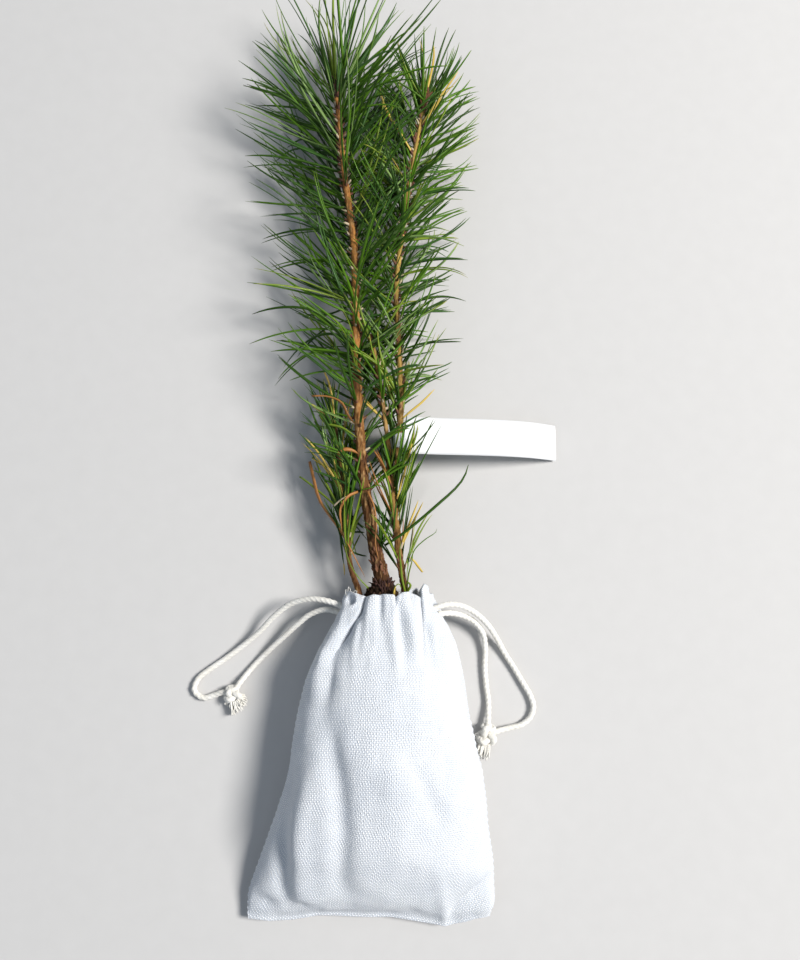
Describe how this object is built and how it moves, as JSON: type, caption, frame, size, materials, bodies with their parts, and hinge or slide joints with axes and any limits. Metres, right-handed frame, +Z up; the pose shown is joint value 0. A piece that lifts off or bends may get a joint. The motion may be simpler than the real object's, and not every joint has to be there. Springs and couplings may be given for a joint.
{
  "type": "pine sapling with bagged root ball",
  "caption": "Young pine sapling with slim bark stems and long green needles, its root ball in a white canvas drawstring bag, lying down with its cords spread and a bare plant tag.",
  "frame": {"origin": "middle of the flat patch on the underside of the bag, where it rests on a table", "axes": "+Z up, +Y from the bag's bottom seam towards the tip of the crown, +X to the right seen from above"},
  "size_m": [0.1743, 0.4564, 0.0725],
  "materials": {
    "canvas": "matte coarse plain-weave canvas",
    "compost": "dark moist compost with fine roots",
    "bark": "flaky brown bark",
    "young_bark": "smooth yellow-tan young bark",
    "needles": "slightly waxy green needles",
    "cotton": "matte twisted cotton",
    "tag": "bare white plastic"
  },
  "bodies": {
    "root": {"bag": "canvas", "root_ball": "compost", "cord_left_outer": "cotton", "cord_left_inner": "cotton", "cord_right_outer": "cotton", "cord_right_inner": "cotton", "knot_left": "cotton", "knot_right": "cotton", "trunk": "bark", "right_stem": "young_bark", "middle_bough": "young_bark", "left_stem": "young_bark", "leader_needles_1": "needles", "leader_needles_2": "needles", "leader_needles_3": "needles", "leader_needles_4": "needles", "leader_needles_5": "needles", "right_needles_1": "needles", "right_needles_2": "needles", "right_needles_3": "needles", "right_needles_4": "needles", "right_foot_needles": "needles", "middle_needles": "needles", "left_needles": "needles", "tag": "tag"}
  },
  "joints": []
}
